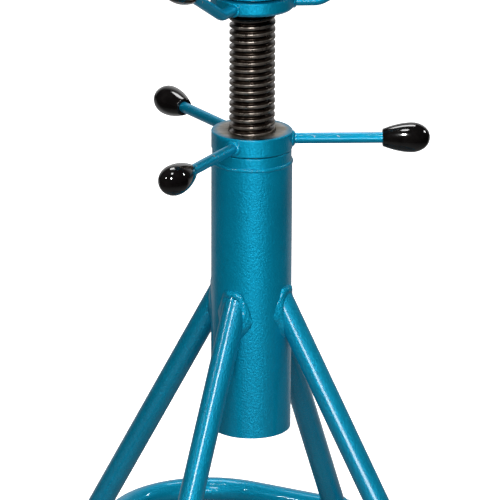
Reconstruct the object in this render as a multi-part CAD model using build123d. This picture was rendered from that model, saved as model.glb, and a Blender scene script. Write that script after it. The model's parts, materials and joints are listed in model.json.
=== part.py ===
from build123d import *
import os
from math import atan, cos, degrees, radians, sin, tan

# Screw-adjustable support stand: a tube column on four raked legs and a bent-tube base ring.
# A trapezoidal screw stands in the column. Its nut rests on the column top and is turned by
# three bars; the screw carries a hub with three cranked bars and a thrust-bearing head.
# Millimetres. +Z is up, the floor is z = 0, the column axis is the Z axis, and the four legs
# lie along +X, +Y, -X and -Y.

# ---- driving dimensions ----
ring_tube_od = 28.0
ring_wall = 2.6
ring_half_side = 221.0        # centre of the ring tube from the column axis
ring_corner = 110.0           # bend radius of the ring's corners, to the tube centre

leg_od = 26.9
leg_wall = 2.6
leg_foot_radius = 221.0       # where the leg axis meets the ring centre line
leg_slope = 0.55              # outward run for each millimetre of drop

column_od = 88.9
column_wall = 5.0
column_bottom = 194.0
column_top = 504.5

cap_od = 87.0
cap_bore = 72.0
cap_top = 517.0
washer_od = 82.0
washer_thick = 1.0

nut_od = 89.0
nut_thick = 20.0
spigot_od = 71.0
spigot_length = 30.0

pitch = 8.0                   # trapezoidal Tr50x8, right hand
thread_major = 25.0           # radii
thread_root = 20.5
crest_half = 1.46
thread_phase = 2.8            # height of a crest over the X axis, less whole turns
nut_bore = 21.0
flank_clearance = 0.3
root_clearance = 0.5

screw_foot = 356.0
hub_bottom = 675.0
hub_thick = 15.0
hub_od = 91.0
hub_chamfer = 3.0
seat_radius = 21.0
journal_radius = 15.0
journal_top = 758.5

bar_od = 12.0
bar_count = 3
nut_bar_angle = 29.2
nut_bar_knob = 142.5          # small end of the knob, from the axis
hub_bar_angle = 30.0
hub_bar_bend = 72.0           # where the cranked bar turns up
hub_bar_rise = 28.6           # degrees above level
hub_bar_run = 80.0            # from the bend to the small end of the knob
bend_radius = 22.0
bar_socket = 20.0             # bar held inside the knob
socket_gap = 2.0

knob_length = 52.0
knob_small = 9.8
knob_large = 16.5
knob_widest = 32.0            # from the small end

pin_od = 8.0
pin_inner = 12.0              # how far in the pin reaches, from the axis

bearing_bore = 15.5           # radius
bearing_od = 60.0
race_thick = 5.0
ball_od = 8.0
ball_clearance = 0.05
ball_circle = 22.5            # radius
ball_count = 14
groove_depth = 1.5
cage_half_width = 5.0
cage_half_thick = 1.2
pocket_clearance = 0.15

neck_od = 78.0
neck_gap = 1.5                # daylight between hub and neck
neck_top = 758.0
bush_od = 38.0
bush_bottom = 712.0
running_fit = 0.1
recess_clearance = 0.3        # round the bearing
journal_clearance = 1.5       # round the journal, between bearing and bush
saddle_od = 130.0
saddle_thick = 20.0
saddle_hole = 54.0
saddle_grooves = (35.0, 43.0, 51.0)
groove_half_width = 1.0
saddle_groove_depth = 1.5
slot_count = 8
slot_width = 3.0
slot_depth = 2.0

bolt_od = 16.0
bolt_head_af = 24.0
bolt_head = 10.0
bolt_hole = 32.0              # depth of the tapped hole in each end of the screw
bolt_engaged = 22.0
bolt_clearance = 0.5          # on the radius, in washers and guide disc
washer_plate = 4.0
guide_washer_od = 40.0
retaining_washer_od = 46.0
guide_disc_od = 78.0
guide_disc_thick = 12.0

weld_size = 4.0
weld_tube = 3.2               # radius of the bead round the cap
bar_weld_length = 7.0
nut_weld_radius = 9.5
hub_weld_radius = 7.4
saddle_weld_size = 6.0
edge_chamfer = 1.0
overrun = 10.0                # how far a cutter passes the face it cuts

# ---- worked out from them ----
ring_height = ring_tube_od / 2
leg_tilt = degrees(atan(leg_slope))
nut_bottom = cap_top + washer_thick
nut_top = nut_bottom + nut_thick
nut_bar_height = nut_bottom + nut_thick / 2 - 0.5   # just under the rim's middle
hub_top = hub_bottom + hub_thick
hub_bar_height = hub_bottom + hub_thick / 2
bearing_middle = hub_top + race_thick + ball_od / 2 - groove_depth
upper_race_bottom = 2 * bearing_middle - hub_top - race_thick
neck_bottom = hub_top + neck_gap
saddle_top = neck_top + saddle_thick
legs = {"right": 0.0, "rear": 90.0, "left": 180.0, "front": 270.0}
bar_angles = [360.0 / bar_count * k for k in range(bar_count)]


def disc(radius, low, high):
    """A cylinder on the Z axis between two heights."""
    return Pos(0, 0, (low + high) / 2) * Cylinder(radius, high - low)


def ring(outer, inner, low, high):
    """A flat ring on the Z axis between two heights; radii."""
    return disc(outer, low, high) - disc(inner, low - 1, high + 1)


def save(shape, name, color):
    """Write one sub-part."""
    shape.label = name
    shape.color = Color(*color)
    export_step(shape, f"parts/{name}.step")
    print(f"{name:22s} solids {len(shape.solids())} volume {shape.volume:10.0f}")


# ---- base ring and legs ----
def ring_path():
    side = 2 * ring_half_side
    return Pos(0, 0, ring_height) * RectangleRounded(side, side, ring_corner).wire()


def ring_sweep(radius):
    """The ring's centre line swept with a round section of the given radius."""
    start = Plane(origin=(0, -ring_half_side, ring_height), z_dir=(1, 0, 0))
    return sweep(start * Circle(radius), path=ring_path())


def ring_side(radius):
    """One straight side of the ring, under the leg along +X, as a round bar."""
    half = ring_half_side - ring_corner
    return Pos(ring_half_side, 0, ring_height) * Rot(90, 0, 0) * Cylinder(radius, 2 * half)


def base_ring():
    return ring_sweep(ring_tube_od / 2) - ring_sweep(ring_tube_od / 2 - ring_wall)


def leg_bar(radius):
    """A round bar along the axis of the leg over +X, from inside the column to the ring."""
    rise = leg_foot_radius / leg_slope
    length = rise / cos(radians(leg_tilt))
    foot = Pos(leg_foot_radius, 0, ring_height) * Rot(0, -leg_tilt, 0)
    return foot * Pos(0, 0, length / 2) * Cylinder(radius, length)


def leg():
    """One leg over +X, coped to the column and to the ring."""
    tube = leg_bar(leg_od / 2) - leg_bar(leg_od / 2 - leg_wall)
    tube -= disc(column_od / 2, 0, column_top)
    tube -= ring_side(ring_tube_od / 2)
    return tube.solids().sort_by(SortBy.VOLUME)[-1]


def leg_column_weld():
    """The bead where a leg meets the column."""
    bead = leg_bar(leg_od / 2 + weld_size) & disc(column_od / 2 + weld_size, column_bottom, column_top)
    bead -= disc(column_od / 2, column_bottom, column_top)
    bead -= leg_bar(leg_od / 2)
    return bead.solids().sort_by(SortBy.VOLUME)[-1]


def leg_ring_weld():
    """The bead where a leg meets the ring."""
    bead = leg_bar(leg_od / 2 + weld_size) & ring_side(ring_tube_od / 2 + weld_size)
    bead -= ring_side(ring_tube_od / 2)
    bead -= leg_bar(leg_od / 2)
    return bead.solids().sort_by(SortBy.VOLUME)[-1]


def around(shape, angles, name, color):
    """The same shape at several angles about the column, in one sub-part."""
    save(Compound(children=[Rot(0, 0, a) * shape for a in angles]), name, color)


# ---- column ----
def column_tube():
    return ring(column_od / 2, column_od / 2 - column_wall, column_bottom, column_top)


def column_cap():
    return ring(cap_od / 2, cap_bore / 2, column_top, cap_top)


def cap_weld():
    """The bead run round the column top, just proud of tube and cap."""
    bead = Pos(0, 0, column_top - 1.5) * Torus(column_od / 2 - 1.0, weld_tube)
    bead -= disc(column_od / 2, column_bottom, column_top)
    return bead - disc(cap_od / 2, column_top, nut_top)


def thrust_washer():
    return ring(washer_od / 2, cap_bore / 2, cap_top, nut_bottom)


# ---- thread ----
def thread_ridge(low, high, inner, outer, crest):
    """A right-hand trapezoidal ridge wound between two heights; radii, 15 degree flanks."""
    turns_down = int((low - thread_phase) / pitch)
    start = thread_phase + pitch * turns_down
    root = crest + (outer - inner) * tan(radians(15))
    path = Pos(0, 0, start) * Helix(pitch=pitch, height=high - start + pitch, radius=inner)
    face = Plane(origin=(inner, 0, start), x_dir=(1, 0, 0), z_dir=(0, -1, 0)) * Polygon(
        (0, -root), (outer - inner, -crest), (outer - inner, crest), (0, root), align=None)
    return sweep(face, path=path, is_frenet=True)


def adjusting_nut():
    """The flanged nut: a wide rim above the cap and a spigot inside it, threaded through."""
    low = nut_bottom - spigot_length
    body = disc(nut_od / 2, nut_bottom, nut_top) + disc(spigot_od / 2, low, nut_bottom)
    body = chamfer(body.edges().group_by(Axis.Z)[-1], edge_chamfer)
    cutter = thread_ridge(low - pitch, nut_top + pitch, nut_bore - root_clearance,
                          thread_major + root_clearance, crest_half + flank_clearance)
    tap = disc(nut_bore, low - 4 * pitch, nut_top + 4 * pitch) + cutter
    return body - tap


def spindle():
    """The screw: thread, hub seat, bearing journal, tapped ends and a cross hole."""
    ridge = thread_ridge(screw_foot - pitch, hub_bottom, thread_root - 0.5, thread_major, crest_half)
    core = disc(thread_root, screw_foot - overrun, hub_bottom + overrun)
    body = (core + ridge) & disc(thread_major + 1, screw_foot, hub_bottom)
    body += disc(seat_radius, hub_bottom, hub_top) + disc(journal_radius, hub_top, journal_top)
    body -= disc(bolt_od / 2, screw_foot - 1, screw_foot + bolt_hole)
    body -= disc(bolt_od / 2, journal_top - bolt_hole, journal_top + 1)
    return body - pin_bar(overrun)


# ---- bars and knobs ----
def knob():
    """A teardrop grip along +X from its small end at the origin, with a blind socket."""
    outline = Spline((0, knob_small), (knob_widest, knob_large), (knob_length, 0),
                     tangents=[(1, 0.4), (1, 0), (0, -1)])
    profile = make_face([outline, Line((knob_length, 0), (0, 0)), Line((0, 0), (0, knob_small))])
    body = revolve(Plane.XY * profile, Axis.X)
    depth = bar_socket + socket_gap
    return body - Pos(depth / 2, 0, 0) * Rot(0, 90, 0) * Cylinder(bar_od / 2, depth)


def nut_bar():
    """A straight bar along +X from the nut's rim into its knob."""
    start = nut_od / 2 - 5
    end = nut_bar_knob + bar_socket
    bar = Pos((start + end) / 2, 0, nut_bar_height) * Rot(0, 90, 0) * Cylinder(bar_od / 2, end - start)
    return bar - disc(nut_od / 2, nut_bottom - overrun, nut_top + overrun)


def nut_knob():
    return Pos(nut_bar_knob, 0, nut_bar_height) * knob()


def crank_point(run):
    """A point on the raised part of the cranked bar over +X, this far past its bend."""
    rise = radians(hub_bar_rise)
    return (hub_bar_bend + run * cos(rise), 0, hub_bar_height + run * sin(rise))


def hub_bar():
    """A cranked bar over +X: level out of the hub, then up to its knob."""
    start = (hub_od / 2 - 5, 0, hub_bar_height)
    corner = (hub_bar_bend, 0, hub_bar_height)
    path = FilletPolyline(start, corner, crank_point(hub_bar_run + bar_socket), radius=bend_radius)
    bar = sweep(Plane(origin=start, z_dir=(1, 0, 0)) * Circle(bar_od / 2), path=path)
    return bar - disc(hub_od / 2, hub_bottom - overrun, hub_top + overrun)


def hub_knob():
    return Pos(*crank_point(hub_bar_run)) * Rot(0, -hub_bar_rise, 0) * knob()


def bar_weld(radius, height, width):
    """The fillet bead around a bar over +X where it leaves a round rim."""
    middle = Pos(radius + 1.5, 0, height) * Rot(0, 90, 0)
    cone = middle * Cone(width, bar_od / 2 + 0.6, bar_weld_length)
    bar = middle * Cylinder(bar_od / 2, 4 * bar_weld_length)
    return cone - bar - disc(radius, height - 2 * width, height + 2 * width)


# ---- hub ----
def pin_bar(extra):
    """The cross pin's round bar, along +Y through the hub into the screw."""
    outer = hub_od / 2 - 0.5 + extra
    place = Pos(0, (pin_inner + outer) / 2, hub_bar_height) * Rot(90, 0, 0)
    return place * Cylinder(pin_od / 2, outer - pin_inner)


def handle_hub():
    body = disc(hub_od / 2, hub_bottom, hub_top)
    body = chamfer(body.edges().group_by(Axis.Z)[0], hub_chamfer)
    return body - disc(seat_radius, hub_bottom - 1, hub_top + 1) - pin_bar(overrun)


# ---- bolts and washers ----
def hex_head():
    """A hexagon bolt head standing on the origin, its top edges chamfered."""
    head = extrude(RegularPolygon(bolt_head_af / 2, 6, major_radius=False), bolt_head)
    return chamfer(head.edges().group_by(Axis.Z)[-1], edge_chamfer)


def washer(outer, low):
    """A thick plain washer for a bolt, from this height up; outer diameter."""
    return ring(outer / 2, bolt_od / 2 + bolt_clearance, low, low + washer_plate)


# ---- foot of the screw ----
def guide_disc():
    body = ring(guide_disc_od / 2, bolt_od / 2 + bolt_clearance, screw_foot - guide_disc_thick, screw_foot)
    return chamfer(body.edges().filter_by(GeomType.CIRCLE).sort_by(SortBy.RADIUS)[-2:], 1.5)


def guide_washer():
    return washer(guide_washer_od, screw_foot - guide_disc_thick - washer_plate)


def guide_bolt():
    """The bolt that holds the guide disc, screwed up into the foot of the screw."""
    seat = screw_foot - guide_disc_thick - washer_plate
    head = Pos(0, 0, seat) * Rot(180, 0, 0) * hex_head()
    return head + disc(bolt_od / 2, seat, screw_foot + bolt_engaged)


# ---- head ----
def groove():
    """The ball track, as a torus on the ball circle at the mid height of the bearing."""
    return Pos(0, 0, bearing_middle) * Torus(ball_circle, ball_od / 2)


def lower_race():
    return ring(bearing_od / 2, bearing_bore, hub_top, hub_top + race_thick) - groove()


def upper_race():
    return ring(bearing_od / 2, bearing_bore, upper_race_bottom, upper_race_bottom + race_thick) - groove()


def ball_place(k):
    angle = radians(360.0 / ball_count * k)
    return Pos(ball_circle * cos(angle), ball_circle * sin(angle), bearing_middle)


def bearing_balls():
    size = ball_od / 2 - ball_clearance
    return Compound(children=[ball_place(k) * Sphere(size) for k in range(ball_count)])


def bearing_cage():
    low = bearing_middle - cage_half_thick
    high = bearing_middle + cage_half_thick
    body = ring(ball_circle + cage_half_width, ball_circle - cage_half_width, low, high)
    for k in range(ball_count):
        body -= ball_place(k) * Cylinder(ball_od / 2 + pocket_clearance, ball_od)
    return body


def head_neck():
    """The head's thick tube: a bearing recess below, a bush bore above."""
    recess_top = upper_race_bottom + race_thick
    body = disc(neck_od / 2, neck_bottom, neck_top)
    body = chamfer(body.edges().group_by(Axis.Z)[0], edge_chamfer)
    body -= disc(bearing_od / 2 + recess_clearance, neck_bottom - 1, recess_top)
    body -= disc(journal_radius + journal_clearance, recess_top - 1, neck_top + 1)
    return body - disc(bush_od / 2, bush_bottom, neck_top + 1)


def head_bushing():
    return ring(bush_od / 2, journal_radius + running_fit, bush_bottom, neck_top)


def saddle_plate():
    """The round load plate: a through hole over the bolt, ring grooves and cross grooves."""
    body = disc(saddle_od / 2, neck_top, saddle_top)
    body = chamfer(body.edges().filter_by(GeomType.CIRCLE), 2.0)
    body -= disc(saddle_hole / 2, neck_top - 1, saddle_top + 1)
    for radius in saddle_grooves:
        body -= ring(radius + groove_half_width, radius - groove_half_width,
                     saddle_top - saddle_groove_depth, saddle_top + 1)
    length = saddle_od / 2
    slot = Pos(saddle_hole / 2 - 1 + length / 2, 0, saddle_top) * Box(length, slot_width, 2 * slot_depth)
    for k in range(slot_count):
        body -= Rot(0, 0, (k + 0.5) * 360.0 / slot_count) * slot
    return body


def saddle_weld():
    """The fillet bead under the saddle plate, round the neck."""
    cone = Cone(neck_od / 2 + 0.5, neck_od / 2 + saddle_weld_size, saddle_weld_size)
    cone = Pos(0, 0, neck_top - saddle_weld_size / 2) * cone
    return cone - disc(neck_od / 2, neck_bottom, saddle_top)


def retaining_washer():
    return washer(retaining_washer_od, journal_top)


def retaining_bolt():
    """The bolt that keeps the head on, screwed down into the top of the screw."""
    seat = journal_top + washer_plate
    return Pos(0, 0, seat) * hex_head() + disc(bolt_od / 2, journal_top - bolt_engaged, seat)


# ---- write the parts ----
os.makedirs("parts", exist_ok=True)
paint = (0.0, 0.32, 0.42)
steel = (0.5, 0.48, 0.45)
black = (0.03, 0.03, 0.03)
bronze = (0.55, 0.40, 0.18)

save(base_ring(), "base_ring", paint)
for side, angle in legs.items():
    save(Rot(0, 0, angle) * leg(), f"leg_{side}", paint)
around(leg_column_weld(), legs.values(), "leg_column_welds", paint)
around(leg_ring_weld(), legs.values(), "leg_ring_welds", paint)
save(column_tube(), "column_tube", paint)
save(column_cap(), "column_cap", paint)
save(cap_weld(), "cap_weld", paint)
save(thrust_washer(), "thrust_washer", bronze)

save(adjusting_nut(), "adjusting_nut", paint)
for k, angle in enumerate(bar_angles, start=1):
    save(Rot(0, 0, nut_bar_angle + angle) * nut_bar(), f"nut_handle_{k}", paint)
    save(Rot(0, 0, nut_bar_angle + angle) * nut_knob(), f"nut_knob_{k}", black)
    save(Rot(0, 0, hub_bar_angle + angle) * hub_bar(), f"hub_handle_{k}", paint)
    save(Rot(0, 0, hub_bar_angle + angle) * hub_knob(), f"hub_knob_{k}", black)
nut_weld = bar_weld(nut_od / 2, nut_bar_height, nut_weld_radius)
hub_weld = bar_weld(hub_od / 2, hub_bar_height, hub_weld_radius)
around(nut_weld, [nut_bar_angle + a for a in bar_angles], "nut_handle_welds", paint)
around(hub_weld, [hub_bar_angle + a for a in bar_angles], "hub_handle_welds", paint)

save(spindle(), "spindle", steel)
save(handle_hub(), "handle_hub", paint)
save(pin_bar(0), "hub_pin", steel)
save(guide_disc(), "guide_disc", steel)
save(guide_washer(), "guide_washer", steel)
save(guide_bolt(), "guide_bolt", steel)

save(lower_race(), "bearing_lower_race", steel)
save(bearing_balls(), "bearing_balls", steel)
save(bearing_cage(), "bearing_cage", bronze)
save(upper_race(), "bearing_upper_race", steel)
save(head_neck(), "head_neck", paint)
save(head_bushing(), "head_bushing", bronze)
save(saddle_plate(), "saddle_plate", paint)
save(saddle_weld(), "saddle_weld", paint)
save(retaining_washer(), "retaining_washer", steel)
save(retaining_bolt(), "retaining_bolt", steel)
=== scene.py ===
import json
import bpy
from math import cos, exp, hypot, pi, radians, sin, sqrt, tan
from mathutils import Matrix, Vector, noise

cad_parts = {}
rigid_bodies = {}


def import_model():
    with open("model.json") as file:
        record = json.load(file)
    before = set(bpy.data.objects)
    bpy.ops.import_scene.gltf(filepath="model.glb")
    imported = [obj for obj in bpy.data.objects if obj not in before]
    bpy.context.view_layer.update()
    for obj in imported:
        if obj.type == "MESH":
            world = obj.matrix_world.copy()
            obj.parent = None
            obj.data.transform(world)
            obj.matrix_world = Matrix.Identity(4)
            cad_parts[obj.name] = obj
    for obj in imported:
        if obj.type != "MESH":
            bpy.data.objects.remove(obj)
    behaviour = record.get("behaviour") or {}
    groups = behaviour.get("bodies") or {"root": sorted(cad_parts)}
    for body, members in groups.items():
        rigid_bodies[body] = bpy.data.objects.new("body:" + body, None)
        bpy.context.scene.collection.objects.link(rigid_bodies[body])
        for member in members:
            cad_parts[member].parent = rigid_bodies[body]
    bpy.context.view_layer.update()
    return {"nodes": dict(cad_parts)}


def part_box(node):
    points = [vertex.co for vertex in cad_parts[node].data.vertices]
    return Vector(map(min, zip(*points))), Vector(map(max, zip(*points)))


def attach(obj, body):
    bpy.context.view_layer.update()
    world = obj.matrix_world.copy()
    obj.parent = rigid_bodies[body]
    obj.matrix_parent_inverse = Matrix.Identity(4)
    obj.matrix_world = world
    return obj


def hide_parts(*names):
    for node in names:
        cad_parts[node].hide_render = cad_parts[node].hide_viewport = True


# A screw-adjustable support stand: painted tube frame with lumpy weld beads, an oiled trapezoidal
# screw, machined faces and glossy black grips. Metres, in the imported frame.
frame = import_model()
MM = 0.001


def radius_of(node):
    """Outer radius of a node that is round about the Z axis."""
    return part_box(node)[1].x


def bottom_of(node):
    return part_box(node)[0].z


def top_of(node):
    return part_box(node)[1].z


# ---- sizes: outer ones from the frame, the rest as on the real parts ----
COLUMN_R = radius_of("column_tube")
COLUMN_LOW, COLUMN_HIGH = bottom_of("column_tube"), top_of("column_tube")
COLUMN_WALL = 5.0 * MM
CAP_R, CAP_HIGH = radius_of("column_cap"), top_of("column_cap")
CAP_BORE = 36.0 * MM
CAP_BEVEL = 1.5 * MM

RING_TUBE = (top_of("base_ring") - bottom_of("base_ring")) / 2
RING_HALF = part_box("base_ring")[1].x - RING_TUBE
RING_CORNER = 110.0 * MM
LEG_R = (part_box("leg_right")[1].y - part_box("leg_right")[0].y) / 2
LEG_SLOPE = 0.55
LEG_INTO_COLUMN = 2.0 * MM
LEG_INTO_RING = 0.3 * MM
LEG_ANGLES = {"right": 0.0, "rear": 90.0, "left": 180.0, "front": 270.0}

SCREW_LOW, SCREW_HIGH = bottom_of("spindle"), top_of("spindle")
PITCH = 8.0 * MM
THREAD_R = radius_of("spindle")
THREAD_ROOT = 20.5 * MM
THREAD_PHASE = 2.8 * MM
THREAD_FLANK = radians(15.0)
CREST_HALF = 1.46 * MM
SEAT_R, JOURNAL_R = 21.0 * MM, 15.0 * MM
TAPPED_R = 8.0 * MM
TAPPED_DEEP = 20.0 * MM

NUT_R, NUT_HIGH = radius_of("adjusting_nut"), top_of("adjusting_nut")
NUT_LOW = top_of("thrust_washer")
NUT_BORE = 21.0 * MM
NUT_BEVEL = 1.1 * MM
NUT_THREAD_R = THREAD_R + 0.5 * MM
NUT_THREAD_GAP = 0.3 * MM
MOUTH_DEEP, MOUTH_WIDE = 1.2 * MM, 1.1 * MM
SPIGOT_R, SPIGOT_LOW = 35.5 * MM, bottom_of("adjusting_nut")

BAR_R = 6.0 * MM
BAR_INTO_RIM = 2.0 * MM
BAR_INTO_GRIP = 18.0 * MM
NUT_BAR_Z = (top_of("nut_handle_1") + bottom_of("nut_handle_1")) / 2
NUT_BAR_ANGLES = [radians(29.2 + 120 * k) for k in range(3)]
HUB_BAR_ANGLES = [radians(30.0 + 120 * k) for k in range(3)]
HUB_R = radius_of("handle_hub")
HUB_LOW, HUB_HIGH = bottom_of("handle_hub"), top_of("handle_hub")
HUB_BAR_Z = (HUB_LOW + HUB_HIGH) / 2
HUB_CHAMFER = 3.0 * MM
CRANK_AT = 72.0 * MM
CRANK_RISE = radians(28.6)
CRANK_RUN = 80.0 * MM
CRANK_BEND = 22.0 * MM
GRIP_AT = 142.5 * MM
GRIP_LENGTH, GRIP_WIDEST_AT, GRIP_LIP = 52.0 * MM, 32.0 * MM, 0.9 * MM
GRIP_SMALL, GRIP_LARGE = 9.8 * MM, 16.5 * MM

NECK_R, NECK_LOW, NECK_HIGH = radius_of("head_neck"), bottom_of("head_neck"), top_of("head_neck")
NECK_BORE = 19.0 * MM
BEARING_BORE, BEARING_DEEP = 30.3 * MM, 13.5 * MM
SADDLE_R, SADDLE_HIGH = radius_of("saddle_plate"), top_of("saddle_plate")
SADDLE_HOLE, SADDLE_SINK = 27.0 * MM, 5.0 * MM
SADDLE_BEVEL = 2.0 * MM
GROOVES = (35.0 * MM, 43.0 * MM, 51.0 * MM)
GROOVE_HALF, GROOVE_DEEP, GROOVE_SLOPE = 1.0 * MM, 1.5 * MM, 0.2 * MM
SLOT_HALF, SLOT_DEEP, SLOT_TURN, SLOT_SPACING = 1.5 * MM, 2.0 * MM, radians(22.5), pi / 4
HAIR = 0.001 * MM


# ---- mesh helpers ----
def new_object(name, verts, faces, material, sharp=40.0):
    """A smooth-shaded mesh object with edges over the given angle kept sharp."""
    mesh = bpy.data.meshes.new(name)
    mesh.from_pydata([tuple(v) for v in verts], [], faces)
    mesh.validate()
    mesh.shade_smooth()
    mesh.set_sharp_from_angle(angle=radians(sharp))
    mesh.materials.append(material)
    obj = bpy.data.objects.new(name, mesh)
    bpy.context.scene.collection.objects.link(obj)
    return obj


def place(obj, body, slot, *nodes):
    """Rides the piece on its body in place of the CAD nodes it stands for."""
    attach(obj, body)
    if nodes:
        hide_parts(*nodes)


def on_circle(radius, part, height):
    """The point at a fraction of a turn round a level circle about Z."""
    angle = 2 * pi * part
    return Vector((radius * cos(angle), radius * sin(angle), height))


def strips(rows, around, wrap=False):
    """Quads between neighbouring rows of points, each row a closed loop."""
    faces = []
    for k in range(rows if wrap else rows - 1):
        here, there = k * around, (k + 1) % rows * around
        for s in range(around):
            n = (s + 1) % around
            faces.append((here + s, here + n, there + n, there + s))
    return faces


def rounded(outline, sizes, steps=4):
    """An open outline of (r, z) corners with each inner corner eased into a curve of its size."""
    points = [Vector(outline[0])]
    for k in range(1, len(outline) - 1):
        corner = Vector(outline[k])
        before = (Vector(outline[k - 1]) - corner).normalized()
        after = (Vector(outline[k + 1]) - corner).normalized()
        a, b = corner + before * sizes[k - 1], corner + after * sizes[k - 1]
        for s in range(steps + 1):
            t = s / steps
            points.append(a * (1 - t) ** 2 + corner * 2 * t * (1 - t) + b * t ** 2)
    points.append(Vector(outline[-1]))
    return points


def held(outline, reach=0.3 * MM):
    """The outline with points added near the ends of its long runs, so that they shade as straight."""
    points = [Vector(outline[0])]
    for near, far in zip(outline, outline[1:]):
        near, far = Vector(near), Vector(far)
        run = (far - near).length
        if run > 8 * reach:
            points += [near.lerp(far, reach / run), near.lerp(far, 1 - reach / run)]
        points.append(far)
    return points


def lathe(name, outline, material, segments=128):
    """A surface of revolution about Z through (r, z) points."""
    outline = held(outline)
    verts = [on_circle(r, s / segments, z) for r, z in outline for s in range(segments)]
    return new_object(name, verts, strips(len(outline), segments), material)


def tube_along(name, points, radius, material, around=32, closed=False):
    """A round tube along a list of points."""
    count = len(points)
    verts = []
    side = None
    for k, p in enumerate(points):
        if closed:
            ahead, behind = points[(k + 1) % count], points[k - 1]
        else:
            ahead, behind = points[min(k + 1, count - 1)], points[max(k - 1, 0)]
        along = (ahead - behind).normalized()
        if side is None:
            side = along.orthogonal().normalized()
        side = (side - along * side.dot(along)).normalized()
        up = along.cross(side)
        for s in range(around):
            a = 2 * pi * s / around
            verts.append(p + (side * cos(a) + up * sin(a)) * radius)
    faces = strips(count, around, wrap=closed)
    if not closed:
        faces.append(tuple(range(around))[::-1])
        faces.append(tuple(range((count - 1) * around, count * around)))
    return new_object(name, verts, faces, material)


def arc_corner(before, corner, after, radius, steps=10):
    """Points of a circular arc that rounds a corner between two straight runs."""
    u, v = (before - corner).normalized(), (after - corner).normalized()
    half = u.angle(v) / 2
    reach = radius / tan(half)
    centre = corner + (u + v).normalized() * (radius / sin(half))
    a, b = corner + u * reach - centre, corner + v * reach - centre
    turn = a.angle(b)
    return [centre + (a * sin(turn * (1 - t / steps)) + b * sin(turn * t / steps)) / sin(turn)
            for t in range(steps + 1)]


def about_z(angle):
    return Matrix.Rotation(angle, 4, "Z")


# ---- material helpers ----
class Nodes:
    """A short way to build a node material."""

    def __init__(self, name):
        self.material = bpy.data.materials.new(name)
        self.material.use_nodes = True
        self.tree = self.material.node_tree
        self.shader = self.tree.nodes["Principled BSDF"]
        self.place = self.new("ShaderNodeTexCoord").outputs["Object"]

    def new(self, kind, **settings):
        node = self.tree.nodes.new(kind)
        for key, value in settings.items():
            setattr(node, key, value)
        return node

    def link(self, source, target):
        self.tree.links.new(source, target)

    def set(self, **values):
        for key, value in values.items():
            self.shader.inputs[key.replace("_", " ")].default_value = value

    def noise(self, scale, detail=3.0, roughness=0.5, place=None):
        node = self.new("ShaderNodeTexNoise")
        node.inputs["Scale"].default_value = scale
        node.inputs["Detail"].default_value = detail
        node.inputs["Roughness"].default_value = roughness
        self.link(place or self.place, node.inputs["Vector"])
        return node.outputs["Fac"]

    def cells(self, scale):
        node = self.new("ShaderNodeTexVoronoi")
        node.inputs["Scale"].default_value = scale
        self.link(self.place, node.inputs["Vector"])
        return node

    def ramp(self, value, *stops):
        """A blend between two (place, colour) stops."""
        node = self.new("ShaderNodeValToRGB")
        ramp = node.color_ramp
        for k, (where, color) in enumerate(stops):
            ramp.elements[k].position = where
            ramp.elements[k].color = (*color, 1)
        self.link(value, node.inputs["Fac"])
        return node.outputs["Color"]

    def grey(self, value, low, high, dark=0.0, light=1.0):
        """Maps a value's range onto another, clamped."""
        node = self.new("ShaderNodeMapRange")
        for key, number in (("From Min", low), ("From Max", high), ("To Min", dark), ("To Max", light)):
            node.inputs[key].default_value = number
        self.link(value, node.inputs["Value"])
        return node.outputs["Result"]

    def math(self, operation, a, b=None):
        node = self.new("ShaderNodeMath", operation=operation)
        for socket, value in zip(node.inputs, (a, b)):
            if value is None:
                continue
            if isinstance(value, (int, float)):
                socket.default_value = value
            else:
                self.link(value, socket)
        return node.outputs[0]

    def mix(self, amount, a, b):
        node = self.new("ShaderNodeMix", data_type="RGBA")
        for socket, value in ((node.inputs[0], amount), (node.inputs[6], a), (node.inputs[7], b)):
            if isinstance(value, (int, float)):
                socket.default_value = value
            elif isinstance(value, tuple):
                socket.default_value = (*value, 1)
            else:
                self.link(value, socket)
        return node.outputs[2]

    def bump(self, height, strength, distance, under=None):
        node = self.new("ShaderNodeBump")
        node.inputs["Strength"].default_value = strength
        node.inputs["Distance"].default_value = distance
        self.link(height, node.inputs["Height"])
        if under:
            self.link(under, node.inputs["Normal"])
        return node.outputs["Normal"]

    def axis_radius(self):
        """Distance from the Z axis at each point."""
        split = self.new("ShaderNodeSeparateXYZ")
        self.link(self.place, split.inputs[0])
        x, y, _ = split.outputs
        squares = self.math("ADD", self.math("MULTIPLY", x, x), self.math("MULTIPLY", y, y))
        return self.math("SQRT", squares)

    def finish(self, color=None, roughness=None, metallic=None, normal=None):
        for key, value in (("Base Color", color), ("Roughness", roughness), ("Metallic", metallic),
                           ("Normal", normal)):
            if value is not None:
                self.link(value, self.shader.inputs[key])
        return self.material


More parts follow.
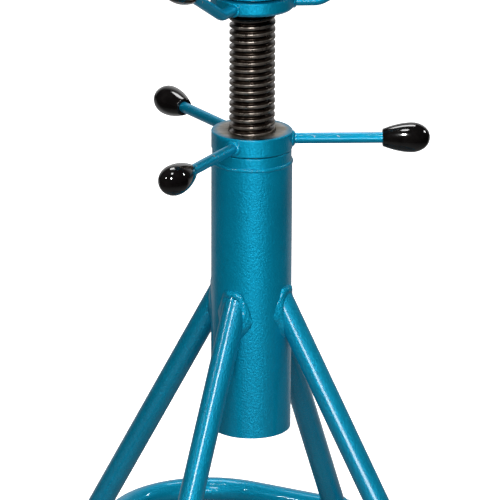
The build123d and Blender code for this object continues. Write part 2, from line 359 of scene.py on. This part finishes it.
def teal_paint(name, chips=0.0, peel=1.0, coat=0.45, film=0.04):
    """Metallic teal enamel: flakes, orange peel, slight shade changes, and chips to bare steel."""
    deep, light, flake = (0.0, 0.225, 0.380), (0.0, 0.255, 0.420), (0.02, 0.46, 0.64)
    dirt, steel = (0.0, 0.08, 0.14), (0.42, 0.40, 0.37)
    m = Nodes(name)
    m.set(Coat_Weight=coat, Coat_Roughness=film, Coat_IOR=1.45, Specular_IOR_Level=0.1)
    shade = m.grey(m.noise(9.0, 2.0), 0.3, 0.7)
    color = m.mix(shade, deep, light)
    flakes = m.cells(1100.0)
    sparkle = m.grey(flakes.outputs["Color"], 0.75, 1.0)
    color = m.mix(m.math("MULTIPLY", sparkle, 0.30), color, flake)
    grime = m.grey(m.noise(45.0, 6.0, 0.65), 0.60, 0.78)
    color = m.mix(m.math("MULTIPLY", grime, 0.20), color, dirt)
    rough = m.grey(m.noise(120.0, 4.0), 0.3, 0.7, 0.37, 0.45)
    metal = m.grey(flakes.outputs["Distance"], 0.0, 0.8, 0.58, 0.48)
    if chips:
        bare = m.grey(m.noise(170.0, 2.0, 0.6), 1.0 - chips, 1.02 - chips)
        color = m.mix(bare, color, steel)
    peel_normal = m.bump(m.noise(400.0, 3.0, 0.65), 0.85 * peel, 1.0 * MM)
    flake_normal = m.bump(m.noise(900.0, 1.0, 0.5), 0.5 * peel, 0.4 * MM, under=peel_normal)
    return m.finish(color=color, roughness=rough, metallic=metal, normal=flake_normal)


def turned_steel(name, bore, rim):
    """Machined steel: turning rings, dirty oil, a dark oily tint towards the bore that is partly painted
    shade beside the screw, overspray at the rim.
    """
    light, dark, bright_ring = (0.25, 0.255, 0.25), (0.11, 0.11, 0.105), (0.55, 0.53, 0.50)
    oil_film, oil_and_painted_shade, overspray = (0.16, 0.12, 0.05), (0.060, 0.045, 0.020), (0.01, 0.17, 0.28)
    rings_in_a_metre = 900.0
    m = Nodes(name)
    radius = m.axis_radius()
    ring = m.math("SINE", m.math("MULTIPLY", radius, rings_in_a_metre * 2 * pi))
    cloud = m.grey(m.noise(38.0, 5.0, 0.6), 0.38, 0.66)
    color = m.mix(cloud, light, dark)
    color = m.mix(m.grey(ring, -1.0, 1.0, 0.0, 0.25), color, bright_ring)
    oil = m.grey(m.noise(60.0, 4.0, 0.6), 0.5, 0.62, 0.0, 0.6)
    color = m.mix(oil, color, oil_film)
    # Darker towards the bore: partly oil, partly painted shade where the screw shades the face.
    near_bore = m.grey(radius, bore + 2 * MM, bore + 11 * MM, 0.9, 0.0)
    color = m.mix(near_bore, color, oil_and_painted_shade)
    ragged = m.math("ADD", radius, m.math("MULTIPLY", m.noise(70.0, 4.0, 0.6), 7 * MM))
    near_rim = m.grey(ragged, rim - 5 * MM, rim + 0.5 * MM, 0.0, 0.9)
    color = m.mix(near_rim, color, overspray)
    rough = m.grey(m.noise(90.0, 4.0), 0.3, 0.7, 0.26, 0.48)
    m.set(Metallic=0.95)
    return m.finish(color=color, roughness=rough, normal=m.bump(ring, 0.12, 0.1 * MM))


def screw_steel(name):
    """Rolled thread: worn grey crests; flanks and roots darker, partly from oil and partly painted shade in
    the thread's hollows.
    """
    m = Nodes(name)
    radius = m.axis_radius()
    crest = m.grey(radius, THREAD_R - 0.75 * MM, THREAD_R - 0.15 * MM)
    streak = m.noise(140.0, 5.0, 0.6)
    worn = m.ramp(streak, (0.35, (0.15, 0.125, 0.105)), (0.65, (0.30, 0.265, 0.23)))
    # Near-black flanks and roots: oil, and painted shade in the hollows of the thread.
    dark = m.ramp(m.noise(70.0, 4.0), (0.35, (0.018, 0.011, 0.007)), (0.7, (0.050, 0.034, 0.024)))
    color = m.mix(crest, dark, worn)
    rough = m.grey(streak, 0.3, 0.7, 0.24, 0.40)
    m.set(Metallic=0.85, Coat_Weight=0.12, Coat_Roughness=0.2)
    return m.finish(color=color, roughness=rough, normal=m.bump(m.noise(600.0, 3.0), 0.15, 0.3 * MM))


def plain_steel(name):
    """Bright mild steel with a fine brushed grain and faint staining."""
    clean, stain, along_grain = (0.50, 0.49, 0.47), (0.24, 0.20, 0.16), (40.0, 40.0, 900.0)
    m = Nodes(name)
    stretch = m.new("ShaderNodeMapping")
    stretch.inputs["Scale"].default_value = along_grain
    m.link(m.place, stretch.inputs["Vector"])
    grain = m.noise(8.0, 4.0, 0.6, place=stretch.outputs["Vector"])
    stained = m.grey(m.noise(55.0, 4.0), 0.5, 0.72)
    color = m.mix(m.math("MULTIPLY", stained, 0.6), clean, stain)
    m.set(Metallic=0.95)
    return m.finish(color=color, roughness=m.grey(grain, 0.3, 0.7, 0.25, 0.42),
                    normal=m.bump(grain, 0.15, 0.2 * MM))


def bronze(name):
    """Bearing bronze with a thin film of oil."""
    m = Nodes(name)
    cloud = m.grey(m.noise(60.0, 4.0), 0.35, 0.7)
    bright, tarnished = (0.50, 0.33, 0.14), (0.30, 0.19, 0.08)
    color = m.mix(cloud, bright, tarnished)
    m.set(Metallic=0.95, Coat_Weight=0.2, Coat_Roughness=0.2)
    return m.finish(color=color, roughness=m.grey(m.noise(150.0), 0.3, 0.7, 0.28, 0.45),
                    normal=m.bump(m.noise(400.0), 0.1, 0.2 * MM))


def black_grip(name):
    """Polished black phenolic with faint moulding ripple and handling marks."""
    m = Nodes(name)
    smudge = m.grey(m.noise(55.0, 5.0, 0.6), 0.45, 0.75)
    polished, handled = (0.003, 0.0025, 0.0025), (0.008, 0.007, 0.0065)
    color = m.mix(smudge, polished, handled)
    rough = m.grey(m.noise(80.0, 5.0, 0.6), 0.4, 0.8, 0.07, 0.16)
    m.set(Coat_Weight=0.15, Coat_Roughness=0.05)
    return m.finish(color=color, roughness=rough, normal=m.bump(m.noise(160.0, 2.0), 0.06, 0.5 * MM))


PAINT = teal_paint("teal_paint", peel=0.7)
PAINT_BARS = teal_paint("teal_paint_bars", chips=0.32, peel=0.7)
PAINT_LEGS = teal_paint("teal_paint_legs", peel=1.3, coat=1.0, film=0.15)
PAINT_WELD = teal_paint("teal_paint_weld", peel=1.3)
STEEL_FACE = turned_steel("turned_steel", THREAD_R, NUT_R)
STEEL_SCREW = screw_steel("screw_steel")
STEEL = plain_steel("plain_steel")
BRONZE = bronze("bronze")
GRIP = black_grip("black_grip")
PAINT_NAMES = {PAINT.name, PAINT_BARS.name, PAINT_LEGS.name, PAINT_WELD.name}


# ---- base ring and legs ----
def ring_points(spacing=4 * MM):
    """The rounded square centre line of the base ring."""
    flat = RING_HALF - RING_CORNER
    corner = Vector((flat, flat, RING_TUBE))
    arc_steps = int(RING_CORNER * pi / 2 / spacing)
    flat_steps = int(2 * flat / spacing)
    points = []
    for k in range(4):
        turn = about_z(radians(90 * k))
        for s in range(flat_steps):
            points.append(turn @ Vector((RING_HALF, -flat + 2 * flat * s / flat_steps, RING_TUBE)))
        for s in range(arc_steps):
            points.append(turn @ (corner + on_circle(RING_CORNER, s / arc_steps / 4, 0)))
    return points


place(tube_along("ring_tube", ring_points(), RING_TUBE, PAINT, around=56, closed=True),
      "frame", "teal_paint", "base_ring")

LEG_AXIS = Vector((LEG_SLOPE, 0, -1)).normalized()
LEG_BASE = Vector((RING_HALF, 0, RING_TUBE))
LEG_SIDE = Vector((0, 1, 0))
LEG_FRONT = LEG_SIDE.cross(LEG_AXIS).normalized()


def leg_line(angle):
    """A point on a generator of the leg at the foot's level, and the outward direction there."""
    out = LEG_SIDE * sin(angle) + LEG_FRONT * cos(angle)
    return LEG_BASE + out * LEG_R, out


def leg_meets_column(angle, column_radius):
    """Where the leg's generator at this angle crosses a cylinder about Z."""
    base, _ = leg_line(angle)
    reach = (-base.x + sqrt(column_radius ** 2 - base.y ** 2)) / LEG_AXIS.x
    return base + LEG_AXIS * reach


def leg_meets_ring(angle, ring_radius):
    """Where the generator crosses the ring's straight tube, on its upper side, and its direction out."""
    base, out = leg_line(angle)
    offset = base - LEG_BASE
    offset.y = 0
    b = offset.dot(LEG_AXIS)
    c = offset.dot(offset) - ring_radius ** 2
    reach = -b - sqrt(max(b * b - c, 0.0))
    return base + LEG_AXIS * reach, out


def leg_mesh(name, turn):
    """A leg tube coped into the column wall and the ring wall."""
    around, along = 64, 60
    verts = []
    for k in range(along + 1):
        for s in range(around):
            angle = 2 * pi * s / around
            top = leg_meets_column(angle, COLUMN_R - LEG_INTO_COLUMN)
            foot, _ = leg_meets_ring(angle, RING_TUBE - LEG_INTO_RING)
            verts.append(turn @ top.lerp(foot, k / along))
    return new_object(name, verts, strips(along + 1, around), PAINT_LEGS)


# ---- weld beads ----
def bead(name, path, width, height, seed, lumps=1.0, wander=0.6 * MM):
    """A lumpy weld bead along a closed path of (point, outward) pairs.

    width is half the bead's width along the two surfaces, and height is how far it stands out of
    the corner."""
    spacing, ripple, around = 0.55 * MM, 2.8 * MM, 14
    lengths, total = [0.0], 0.0
    for k in range(len(path)):
        total += (path[(k + 1) % len(path)][0] - path[k][0]).length
        lengths.append(total)
    stations = max(48, int(total / spacing))
    verts = []
    k = 0
    for s in range(stations):
        at = total * s / stations
        while lengths[k + 1] < at:
            k += 1
        part = (at - lengths[k]) / max(lengths[k + 1] - lengths[k], 1e-9)
        (here, out_here), (there, out_there) = path[k], path[(k + 1) % len(path)]
        p, out = here.lerp(there, part), out_here.lerp(out_there, part).normalized()
        side = (there - here).normalized().cross(out).normalized()
        where = Vector((at * 110 + seed * 17.0, seed * 3.1, 0.5))
        phase = at / ripple + 0.5 * noise.noise(where * 1.7)
        scallop = 1 - 0.10 * abs((phase % 1.0) - 0.35)
        lump = 1 + lumps * (0.42 * noise.noise(where) + 0.24 * noise.noise(where * 2.9))
        shift = side * wander * noise.noise(where * 0.8 + Vector((9, 2, 4)))
        w, h = width * lump, height * (0.5 + 0.5 * lump) * scallop
        for a in range(around):
            angle = 2 * pi * a / around
            rise = h * sin(angle) if sin(angle) > 0 else h * 0.9 * sin(angle)
            verts.append(p + shift + side * (w * cos(angle)) + out * rise)
    return new_object(name, verts, strips(stations, around, wrap=True), PAINT_WELD, sharp=75.0)


def on_column(point):
    """The point moved straight in or out onto the column's surface."""
    flat = Vector((point.x, point.y, 0)).normalized() * COLUMN_R
    return Vector((flat.x, flat.y, point.z))


def on_leg(point):
    """The point moved straight in or out onto the surface of the leg over +X."""
    foot = LEG_BASE + LEG_AXIS * (point - LEG_BASE).dot(LEG_AXIS)
    return foot + (point - foot).normalized() * LEG_R


def hump(angle, middle, spread):
    """A smooth bump of height 1 about an angle."""
    return exp(-((angle - middle) / spread) ** 2)


def towards(direction, target):
    """The direction, or its opposite if that points more to the target."""
    return direction if direction.dot(target) > 0 else -direction


def column_weld(name, turn, seed, steps=420):
    """The lumpy fillet where a leg meets the column: full at the leg's upper corners and flanks."""
    skirt, proud, root = 0.8 * MM, 0.12 * MM, 1.2 * MM
    joint = [leg_meets_column(2 * pi * s / steps, COLUMN_R) for s in range(steps)]
    verts = []
    for s, p in enumerate(joint):
        along = (joint[(s + 1) % steps] - joint[s - 1]).normalized()
        wall = Vector((p.x, p.y, 0)).normalized()
        tube = (p - LEG_BASE - LEG_AXIS * (p - LEG_BASE).dot(LEG_AXIS)).normalized()
        up_wall = towards(along.cross(wall).normalized(), tube)
        down_leg = towards(along.cross(tube).normalized(), wall)
        from_top = abs(2 * pi * s / steps - pi)
        crown, shoulder = hump(from_top, 0.2, 0.6), hump(from_top, 0.60, 0.35)
        flank, low_flank = hump(from_top, 1.80, 0.55), hump(from_top, 1.7, 0.7)
        where = Vector((p.y, p.z, seed * 0.07)) * 85
        lump = 1 + 0.40 * noise.noise(where) + 0.14 * noise.noise(where * 2.7)
        uneven = 1 + 0.35 * noise.noise(where + Vector((5, 1, 8)))
        fill = 0.95 + 0.20 * noise.noise(where * 1.3 + Vector((1, 9, 4)))
        reach = (2.6 + 2.2 * shoulder + 6.0 * flank) * lump * MM
        run = (2.6 + 4.0 * crown + 2.2 * low_flank) * uneven * MM
        swell = (0.5 + 2.2 * crown) * MM
        top, low = on_column(p + up_wall * reach), on_leg(p + down_leg * run)
        corner = p.lerp((top + low) / 2, fill) + (wall + tube) * swell
        section = [top - wall * skirt, top + wall * proud]
        for part in (0.2, 0.4, 0.6, 0.8):
            section.append(top * (1 - part) ** 2 + corner * 2 * part * (1 - part) + low * part ** 2)
        section += [low + tube * proud, low - tube * skirt, p - (wall + tube) * root]
        verts.extend(turn @ q for q in section)
    return new_object(name, verts, strips(steps, len(section), wrap=True), PAINT_WELD, sharp=60.0)


def ring_weld_path(turn, steps=140):
    """The line where a leg meets the ring, with the direction out of the corner."""
    path = []
    for s in range(steps):
        p, out = leg_meets_ring(2 * pi * s / steps, RING_TUBE)
        wall = Vector((p.x - RING_HALF, 0, p.z - RING_TUBE)).normalized()
        path.append((turn @ p, turn.to_3x3() @ (out + wall).normalized()))
    return path


for seed, (side, angle) in enumerate(LEG_ANGLES.items(), start=1):
    turn = about_z(radians(angle))
    place(leg_mesh(f"leg_tube_{side}", turn), "frame", "teal_paint", f"leg_{side}")
    weld = column_weld(f"column_bead_{side}", turn, seed)
    place(weld, "frame", "teal_paint", "leg_column_welds")
    foot = bead(f"ring_bead_{side}", ring_weld_path(turn), 3.4 * MM, 2.2 * MM, seed + 10)
    place(foot, "frame", "teal_paint", "leg_ring_welds")


# ---- column ----
def circle_path(radius, height, out, up, steps=240):
    """A level circle about Z with a fixed direction out of the corner, given by two parts."""
    path = []
    for s in range(steps):
        direction = on_circle(out, s / steps, up).normalized()
        path.append((on_circle(radius, s / steps, height), direction))
    return path


inner = COLUMN_R - COLUMN_WALL
column = lathe("column_shell", rounded(
    [(inner, COLUMN_HIGH), (inner, COLUMN_LOW), (COLUMN_R, COLUMN_LOW), (COLUMN_R, COLUMN_HIGH),
     (inner, COLUMN_HIGH)], [0.7 * MM, 0.9 * MM, 0.5 * MM]), PAINT, segments=192)
place(column, "frame", "teal_paint", "column_tube")
cap = lathe("cap_ring", rounded(
    [(CAP_BORE, COLUMN_HIGH), (CAP_R, COLUMN_HIGH), (CAP_R, CAP_HIGH), (CAP_BORE, CAP_HIGH),
     (CAP_BORE, COLUMN_HIGH)], [0.2 * MM, CAP_BEVEL, 0.5 * MM]), PAINT, segments=192)
place(cap, "frame", "teal_paint", "column_cap")
cap_bead = bead("cap_bead", circle_path(COLUMN_R - 1.2 * MM, COLUMN_HIGH - 1.2 * MM, 1, 0.15),
                2.5 * MM, 2.1 * MM, 31, lumps=0.45, wander=0.2 * MM)
place(cap_bead, "frame", "teal_paint", "cap_weld")


# ---- thread ----
def thread_surface(name, low, high, crest_r, root_r, crest_half, material, outward=True):
    """A helical trapezoidal thread between two heights; faces point out of a screw, into a nut."""
    per_turn, soft = 96, 0.28 * MM
    foot = crest_half + (crest_r - root_r) * tan(THREAD_FLANK)
    half = [(crest_half - soft * 0.6, crest_r), (crest_half + soft * 0.3, crest_r - soft),
            (foot - soft, root_r + soft * 0.9), (foot, root_r)]
    section = [(-dz, r) for dz, r in reversed(half)] + half + [(PITCH / 2, root_r)]
    first = int((low - THREAD_PHASE) / PITCH) - 1
    last = int((high - THREAD_PHASE) / PITCH) + 2
    stations = (last - first) * per_turn + 1
    verts, faces = [], []
    count = len(section)
    for step in range(stations):
        middle = THREAD_PHASE + PITCH * (first + step / per_turn)
        verts += [on_circle(r, step / per_turn, min(max(middle + dz, low), high)) for dz, r in section]
    for step in range(stations - 1):
        a, b = step * count, (step + 1) * count
        for k in range(count - 1):
            faces.append((a + k, b + k, b + k + 1, a + k + 1))
        up, up_next = step + per_turn, step + per_turn + 1
        if up_next < stations:
            faces.append((a + count - 1, b + count - 1, up_next * count, up * count))
    kept = [f if outward else f[::-1] for f in faces
            if max(verts[i].z for i in f) - min(verts[i].z for i in f) > 1e-7]
    return new_object(name, verts, kept, material, sharp=50.0)


screw = thread_surface("screw_thread", SCREW_LOW, HUB_LOW, THREAD_R, THREAD_ROOT, CREST_HALF, STEEL_SCREW)
place(screw, "spindle", "screw_steel", "spindle")
screw_foot = lathe("screw_foot", rounded(
    [(TAPPED_R, SCREW_LOW + TAPPED_DEEP), (TAPPED_R, SCREW_LOW), (THREAD_ROOT, SCREW_LOW)],
    [0.5 * MM]), STEEL, segments=96)
place(screw_foot, "spindle", "screw_steel")
journal = lathe("screw_journal", rounded(
    [(SEAT_R, HUB_LOW), (SEAT_R, HUB_HIGH), (JOURNAL_R, HUB_HIGH), (JOURNAL_R, SCREW_HIGH),
     (TAPPED_R, SCREW_HIGH)], [0.3 * MM, 0.3 * MM, 0.8 * MM]), STEEL, segments=96)
place(journal, "spindle", "screw_steel")

# ---- nut ----
nut = lathe("nut_body", rounded(
    [(NUT_THREAD_R, NUT_HIGH - MOUTH_DEEP), (NUT_THREAD_R + MOUTH_WIDE, NUT_HIGH),
     (NUT_R - NUT_BEVEL, NUT_HIGH), (NUT_R, NUT_HIGH - NUT_BEVEL), (NUT_R, NUT_LOW),
     (SPIGOT_R, NUT_LOW), (SPIGOT_R, SPIGOT_LOW), (NUT_THREAD_R, SPIGOT_LOW)],
    [0.3 * MM, 0.3 * MM, 0.3 * MM, 0.9 * MM, 0.3 * MM, 0.8 * MM]), PAINT, segments=192)
nut.data.materials.append(STEEL_FACE)
for polygon in nut.data.polygons:
    middle = polygon.center
    on_top = middle.z > NUT_HIGH - 1.3 * MM and hypot(middle.x, middle.y) < NUT_R - 1.3 * MM
    below = middle.z < NUT_LOW - 0.1 * MM
    if on_top or below:
        polygon.material_index = 1
place(nut, "nut", "teal_paint", "adjusting_nut")
nut_thread = thread_surface("nut_thread", SPIGOT_LOW, NUT_HIGH - MOUTH_DEEP, NUT_THREAD_R, NUT_BORE,
                            CREST_HALF + NUT_THREAD_GAP, STEEL_FACE, outward=False)
place(nut_thread, "nut", "plain_steel")


# ---- bars and grips ----
def grip(name, at, rise, turn):
    """A teardrop grip whose small end is at a point on the +X side, tilted up and turned about Z."""
    around, taper_steps, dome_steps = 64, 14, 18
    outline = [(0.0, GRIP_SMALL * 0.62), (0.0, GRIP_SMALL - 0.9 * MM), (0.25 * MM, GRIP_SMALL - 0.25 * MM),
               (GRIP_LIP, GRIP_SMALL + 0.1 * MM)]
    for s in range(1, taper_steps + 1):
        t = s / taper_steps
        swell = sin(t * pi / 2) ** 0.92
        outline.append((GRIP_LIP + (GRIP_WIDEST_AT - GRIP_LIP) * t,
                        GRIP_SMALL + (GRIP_LARGE - GRIP_SMALL) * swell))
    for s in range(1, dome_steps + 1):
        a = pi / 2 * s / dome_steps
        outline.append((GRIP_WIDEST_AT + (GRIP_LENGTH - GRIP_WIDEST_AT) * sin(a),
                        max(GRIP_LARGE * cos(a) ** 0.94, 0.0)))
    place_it = turn @ Matrix.Translation(at) @ Matrix.Rotation(-rise, 4, "Y")
    verts = []
    for x, r in outline:
        for s in range(around):
            a = 2 * pi * s / around
            verts.append(place_it @ Vector((x, r * cos(a), r * sin(a))))
    faces = [face[::-1] for face in strips(len(outline), around)]
    return new_object(name, verts, faces, GRIP, sharp=50.0)


def bar_weld_path(rim, height, radius, turn, steps=90):
    """The line where a level bar over +X leaves a round rim, with the direction out of the corner."""
    path = []
    for s in range(steps):
        a = 2 * pi * s / steps
        out = Vector((0, cos(a), sin(a)))
        p = Vector((sqrt(rim ** 2 - (radius * cos(a)) ** 2), radius * cos(a), height + radius * sin(a)))
        path.append((turn @ p, turn.to_3x3() @ (out + Vector((1, 0, 0))).normalized()))
    return path


for k, angle in enumerate(NUT_BAR_ANGLES, start=1):
    turn = about_z(angle)
    start, small_end = Vector((NUT_R - BAR_INTO_RIM, 0, NUT_BAR_Z)), Vector((GRIP_AT, 0, NUT_BAR_Z))
    end = small_end + Vector((BAR_INTO_GRIP, 0, 0))
    points = [turn @ start.lerp(end, t / 24) for t in range(25)]
    place(tube_along(f"nut_bar_{k}", points, BAR_R, PAINT_BARS, around=40), "nut", "teal_paint",
          f"nut_handle_{k}")
    place(grip(f"nut_grip_{k}", small_end, 0.0, turn), "nut", "black_knob", f"nut_knob_{k}")
    weld = bead(f"nut_bar_bead_{k}", bar_weld_path(NUT_R, NUT_BAR_Z, BAR_R + 0.6 * MM, turn),
                3.0 * MM, 2.3 * MM, 40 + k, wander=0.3 * MM)
    place(weld, "nut", "teal_paint", "nut_handle_welds")

for k, angle in enumerate(HUB_BAR_ANGLES, start=1):
    turn = about_z(angle)
    start, corner = Vector((HUB_R - BAR_INTO_RIM, 0, HUB_BAR_Z)), Vector((CRANK_AT, 0, HUB_BAR_Z))
    direction = Vector((cos(CRANK_RISE), 0, sin(CRANK_RISE)))
    small_end = corner + direction * CRANK_RUN
    end = small_end + direction * BAR_INTO_GRIP
    bend = arc_corner(start, corner, end, CRANK_BEND)
    points = [start.lerp(bend[0], t / 6) for t in range(6)] + bend
    points += [bend[-1].lerp(end, t / 20) for t in range(1, 21)]
    place(tube_along(f"hub_bar_{k}", [turn @ p for p in points], BAR_R, PAINT_BARS, around=40), "spindle",
          "teal_paint", f"hub_handle_{k}")
    place(grip(f"hub_grip_{k}", small_end, CRANK_RISE, turn), "spindle", "black_knob", f"hub_knob_{k}")
    weld = bead(f"hub_bar_bead_{k}", bar_weld_path(HUB_R, HUB_BAR_Z, BAR_R + 0.4 * MM, turn),
                1.9 * MM, 1.5 * MM, 50 + k, wander=0.2 * MM)
    place(weld, "spindle", "teal_paint", "hub_handle_welds")

# ---- hub ----
hub = lathe("hub_body", rounded(
    [(SEAT_R, HUB_LOW), (HUB_R - HUB_CHAMFER, HUB_LOW), (HUB_R, HUB_LOW + HUB_CHAMFER),
     (HUB_R, HUB_HIGH), (SEAT_R, HUB_HIGH)], [0.9 * MM, 0.9 * MM, 0.8 * MM]), PAINT, segments=192)
place(hub, "spindle", "teal_paint", "handle_hub")

# ---- head ----
neck = lathe("neck_body", rounded(
    [(BEARING_BORE, NECK_LOW + BEARING_DEEP), (BEARING_BORE, NECK_LOW), (NECK_R, NECK_LOW),
     (NECK_R, NECK_HIGH), (NECK_BORE, NECK_HIGH)], [0.5 * MM, 1.0 * MM, 0.5 * MM]), PAINT, segments=160)
place(neck, "head", "teal_paint", "head_neck")
saddle_bead = bead("saddle_bead", circle_path(NECK_R, NECK_HIGH, 1, -1), 3.6 * MM, 2.6 * MM, 71,
                   wander=0.4 * MM)
place(saddle_bead, "head", "teal_paint", "saddle_weld")


def saddle_height(r, angle):
    """Height of the saddle's top: ring grooves and eight radial slots."""
    z = SADDLE_HIGH
    for groove in GROOVES:
        if abs(r - groove) < GROOVE_HALF + HAIR:
            z = SADDLE_HIGH - GROOVE_DEEP
    off = (angle - SLOT_TURN + SLOT_SPACING / 2) % SLOT_SPACING - SLOT_SPACING / 2
    if abs(r * sin(off)) < SLOT_HALF + HAIR:
        z = SADDLE_HIGH - SLOT_DEEP
    return z


def saddle_mesh():
    """The saddle plate: a polar grid for the grooved top, turned sides, flat underside."""
    around, inside = 720, GROOVE_HALF - 10 * HAIR
    radii = [SADDLE_HOLE + 0.6 * MM]
    for groove in GROOVES:
        radii += [groove - GROOVE_HALF - GROOVE_SLOPE, groove - inside, groove + inside,
                  groove + GROOVE_HALF + GROOVE_SLOPE]
    radii += [56 * MM, 60 * MM, SADDLE_R - SADDLE_BEVEL]
    side = rounded([(SADDLE_HOLE, NECK_HIGH + SADDLE_SINK), (SADDLE_HOLE, NECK_HIGH), (SADDLE_R, NECK_HIGH),
                    (SADDLE_R, SADDLE_HIGH - SADDLE_BEVEL), (SADDLE_R - SADDLE_BEVEL, SADDLE_HIGH)],
                   [0.5 * MM, 2.0 * MM, 0.6 * MM])
    rows = [(SADDLE_HOLE, SADDLE_HIGH - SLOT_DEEP)] + [(r, SADDLE_HIGH) for r in radii]
    rows += [(p.x, p.y) for p in reversed(side[:-1])]
    verts = []
    for r, z in rows:
        for s in range(around):
            verts.append(on_circle(r, s / around, min(z, saddle_height(r, 2 * pi * s / around))))
    faces = [face[::-1] for face in strips(len(rows), around, wrap=True)]
    return new_object("saddle_disc", verts, faces, PAINT, sharp=35.0)


place(saddle_mesh(), "head", "teal_paint", "saddle_plate")

# ---- CAD nodes that stay as they are ----
STEEL_NODES = ("hub_pin", "guide_disc", "guide_washer", "guide_bolt", "bearing_lower_race", "bearing_balls",
               "bearing_upper_race", "retaining_washer", "retaining_bolt")
BRONZE_NODES = ("thrust_washer", "bearing_cage", "head_bushing")
for material, nodes in ((STEEL, STEEL_NODES), (BRONZE, BRONZE_NODES)):
    for node in nodes:
        mesh = frame["nodes"][node].data
        mesh.materials.clear()
        mesh.materials.append(material)


# ---- studio ----
CAMERA_AZIMUTH = radians(27.0)
TO_CAMERA = Vector((sin(CAMERA_AZIMUTH), -cos(CAMERA_AZIMUTH), 0))


def towards_camera_side(m, vector):
    """How far a position or direction lies to the side that the studio is lit from."""
    node = m.new("ShaderNodeVectorMath", operation="DOT_PRODUCT")
    m.link(vector, node.inputs[0])
    node.inputs[1].default_value = TO_CAMERA
    return node.outputs["Value"]


def floor_material():
    """White floor that glows evenly towards the camera. For reflections and bounced light its colour is
    painted light: bright behind the object, a painted pool of light close to it, dark elsewhere,
    as in a studio with black cloth in front."""
    m = Nodes("studio_floor")
    front = towards_camera_side(m, m.place)
    reach = m.axis_radius()
    # Painted light for reflections and bounced light: brighter behind the object and in a pool close to it.
    behind = m.grey(m.math("ADD", front, m.math("MULTIPLY", reach, 0.42)), -0.30, 0.0, 0.45, 0.0)
    near = m.grey(reach, 0.35, 1.15, 0.16, 0.012)
    painted_floor_light = m.math("MAXIMUM", behind, near)
    seen = m.new("ShaderNodeLightPath").outputs["Is Camera Ray"]
    m.set(Roughness=0.9, Specular_IOR_Level=0.0, Emission_Color=(1, 1, 1, 1))
    m.link(m.math("MULTIPLY", seen, 0.95), m.shader.inputs["Emission Strength"])
    return m.finish(color=m.mix(seen, painted_floor_light, (0.92, 0.92, 0.92)))


FLOOR_HALF = 40.0
floor_corners = [(-FLOOR_HALF, -FLOOR_HALF, 0), (FLOOR_HALF, -FLOOR_HALF, 0), (FLOOR_HALF, FLOOR_HALF, 0),
                 (-FLOOR_HALF, FLOOR_HALF, 0)]
floor = new_object("studio_floor", floor_corners, [(0, 1, 2, 3)], floor_material())

CAMERA_AIM = Vector((-0.0014, -0.0007, 0.3993))
CAMERA_AWAY = 4.4245
CAMERA_ELEVATION = radians(18.26)
CAMERA_ROLL = radians(0.25)
LENS, SENSOR = 289.6, 36.0


def camera_side(azimuth, elevation, distance):
    """A point this far from the aim, at an azimuth anticlockwise from -Y and an elevation."""
    flat = cos(elevation) * distance
    return CAMERA_AIM + Vector((sin(azimuth) * flat, -cos(azimuth) * flat, sin(elevation) * distance))


camera_data = bpy.data.cameras.new("camera")
camera_data.lens = LENS
camera_data.sensor_width = SENSOR
camera_data.clip_end = 100.0
camera = bpy.data.objects.new("camera", camera_data)
camera.location = camera_side(CAMERA_AZIMUTH, CAMERA_ELEVATION, CAMERA_AWAY)
look = (CAMERA_AIM - camera.location).normalized()
camera.rotation_mode = "QUATERNION"
roll = Matrix.Rotation(CAMERA_ROLL, 4, "Z").to_quaternion()
camera.rotation_quaternion = look.to_track_quat("-Z", "Y") @ roll
bpy.context.scene.collection.objects.link(camera)
bpy.context.scene.camera = camera


# Enamel and bare pieces are lit by lights of their own where the two need different ones.
painted, bare = bpy.data.collections.new("painted"), bpy.data.collections.new("bare")
for piece in bpy.context.scene.objects:
    if piece.type == "MESH":
        coated = PAINT_NAMES & {m.name for m in piece.data.materials if m}
        (painted if coated else bare).objects.link(piece)


def softbox(name, azimuth, elevation, distance, size, power, lit=None):
    """A rectangular area light, aimed at the object. Azimuth is from CAMERA_AZIMUTH, in degrees."""
    data = bpy.data.lights.new(name, "AREA")
    data.shape = "RECTANGLE"
    data.size, data.size_y = size
    data.energy = power
    obj = bpy.data.objects.new(name, data)
    obj.location = camera_side(CAMERA_AZIMUTH + radians(azimuth), radians(elevation), distance)
    obj.rotation_mode = "QUATERNION"
    obj.rotation_quaternion = (CAMERA_AIM - obj.location).normalized().to_track_quat("-Z", "Y")
    if lit:
        obj.light_linking.receiver_collection = lit
    bpy.context.scene.collection.objects.link(obj)


softbox("key", -9, 28, 3.0, (0.60, 0.60), 27, lit=painted)
softbox("key_bare", -9, 40, 3.0, (0.30, 0.40), 100, lit=bare)
softbox("lamp", -60, 33, 3.0, (0.16, 0.16), 15)
softbox("over", -15, 72, 2.6, (1.30, 0.12), 22, lit=painted)
softbox("over_bare", -15, 76, 2.6, (0.50, 0.50), 14, lit=bare)
softbox("side", 105, 30, 3.0, (0.20, 0.50), 16)
softbox("glint", 22, 34, 3.0, (0.30, 0.35), 12, lit=painted)
softbox("front", 6, 1, 3.0, (2.10, 0.50), 54, lit=painted)
softbox("rear", 180, 62, 3.0, (1.60, 0.80), 42)


def studio_world():
    """A pale backdrop behind the object and a dark room in front of it."""
    made = bpy.data.worlds.new("studio")
    made.use_nodes = True
    tree = made.node_tree
    background = tree.nodes["Background"]
    coords = tree.nodes.new("ShaderNodeTexCoord")
    dot = tree.nodes.new("ShaderNodeVectorMath")
    dot.operation = "DOT_PRODUCT"
    dot.inputs[1].default_value = TO_CAMERA
    tree.links.new(coords.outputs["Generated"], dot.inputs[0])
    ramp = tree.nodes.new("ShaderNodeMapRange")
    backdrop_full, backdrop_ends, pale, dark = -0.90, -0.66, 0.95, 0.015
    for key, number in (("From Min", backdrop_full), ("From Max", backdrop_ends), ("To Min", pale),
                        ("To Max", dark)):
        ramp.inputs[key].default_value = number
    tree.links.new(dot.outputs["Value"], ramp.inputs["Value"])
    tree.links.new(ramp.outputs["Result"], background.inputs["Color"])
    background.inputs["Strength"].default_value = 0.9
    return made


bpy.context.scene.world = studio_world()
bpy.context.scene.view_settings.view_transform = "Standard"
